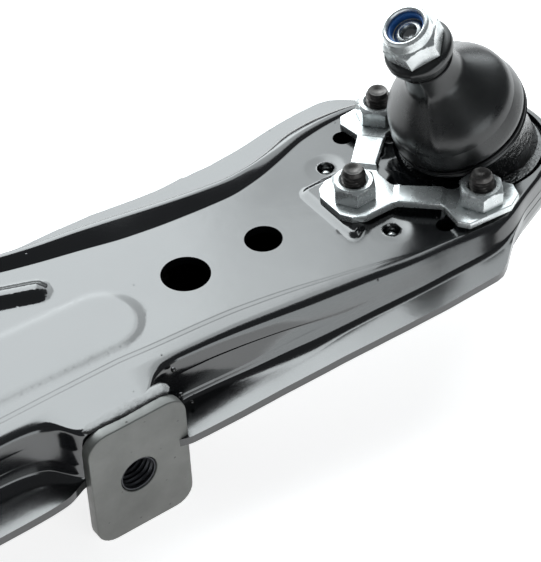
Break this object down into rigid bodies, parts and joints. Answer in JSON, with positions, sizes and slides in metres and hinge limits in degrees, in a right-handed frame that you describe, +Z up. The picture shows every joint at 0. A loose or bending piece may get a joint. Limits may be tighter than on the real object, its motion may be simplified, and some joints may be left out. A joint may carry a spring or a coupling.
{
  "type": "suspension control arm",
  "caption": "L-shaped pressed-steel lower control arm with bolted ball joint, two rubber bushes and a tapped link bracket.",
  "frame": {"origin": "centre of the front bush's bore, half way along it", "axes": "+X from the front bush to the ball joint, +Y along the front bush's bore towards the rear leg, +Z up, the way the ball stud points"},
  "size_m": [0.39, 0.3285, 0.1087],
  "materials": {
    "shell_coat": "gloss black electrocoat",
    "lower_shell_coat": "gloss black electrocoat",
    "bracket_steel": "satin black-grey coat",
    "weld_nut_steel": "dark coated steel",
    "bracket_bead": "coated weld bead",
    "front_eye_coat": "gloss black electrocoat",
    "front_bead": "coated weld bead",
    "front_outer_steel": "phosphated steel",
    "front_rubber": "moulded natural rubber",
    "front_inner_steel": "turned steel",
    "rear_eye_coat": "gloss black electrocoat",
    "rear_bead": "coated weld bead",
    "rear_outer_steel": "phosphated steel",
    "rear_rubber": "moulded natural rubber",
    "rear_inner_steel": "turned steel",
    "plate_zinc": "bright zinc plate",
    "nut_zinc": "bright zinc plate",
    "bolt_phosphate": "dark phosphate",
    "housing_casting": "coated rough casting",
    "seat_plastic": "acetal",
    "cap_steel": "coated steel disc",
    "stud_steel": "ground steel",
    "stud_nut_zinc": "bright zinc plate",
    "insert_nylon": "blue nylon",
    "boot_rubber": "satin moulded rubber",
    "lower_clip_wire": "black wire",
    "neck_clip_wire": "black wire"
  },
  "bodies": {
    "arm": {"upper_shell": "shell_coat", "lower_shell": "lower_shell_coat", "link_bracket": "bracket_steel", "bracket_nut": "weld_nut_steel", "bracket_weld": "bracket_bead", "front_eye_tube": "front_eye_coat", "front_eye_welds": "front_bead", "front_bush_outer_sleeve": "front_outer_steel", "front_bush_rubber": "front_rubber", "rear_eye_collar": "rear_eye_coat", "rear_eye_welds": "rear_bead", "rear_bush_outer_sleeve": "rear_outer_steel", "rear_bush_rubber": "rear_rubber", "lock_plate": "plate_zinc", "lock_nuts": "nut_zinc", "lock_bolts": "bolt_phosphate", "joint_housing": "housing_casting", "ball_seat": "seat_plastic", "housing_cap": "cap_steel", "boot_lower_clip": "lower_clip_wire"},
    "front_inner_sleeve": {"front_bush_inner_sleeve": "front_inner_steel"},
    "rear_inner_sleeve": {"rear_bush_inner_sleeve": "rear_inner_steel"},
    "boot_carrier": {"boot": "boot_rubber"},
    "boot_neck": {"boot_neck_clip": "neck_clip_wire"},
    "stud": {"ball_stud": "stud_steel", "stud_nut": "stud_nut_zinc", "nut_insert": "insert_nylon"}
  },
  "joints": [
    {"name": "front_bush_twist", "type": "hinge", "parent": "arm", "child": "front_inner_sleeve", "pos_m": [0, 0, 0], "axis": [0, 1, 0], "range_deg": [-20, 20], "stiffness_Nm_per_rad": 2},
    {"name": "rear_bush_twist", "type": "hinge", "parent": "arm", "child": "rear_inner_sleeve", "pos_m": [0.035, 0.245, 0], "axis": [0, 0, 1], "range_deg": [-10, 10], "stiffness_Nm_per_rad": 2},
    {"name": "stud_swing_along_arm", "type": "hinge", "parent": "arm", "child": "boot_carrier", "pos_m": [0.34, 0, 0.022], "axis": [0, 1, 0], "range_deg": [-20, 20], "deforming": ["boot"]},
    {"name": "stud_swing_across_arm", "type": "hinge", "parent": "boot_carrier", "child": "boot_neck", "pos_m": [0.34, 0, 0.022], "axis": [0.9026, 0, 0.4305], "range_deg": [-20, 20]},
    {"name": "stud_spin", "type": "hinge", "parent": "boot_neck", "child": "stud", "pos_m": [0.34, 0, 0.022], "axis": [-0.4305, 0, 0.9026], "continuous": true}
  ]
}
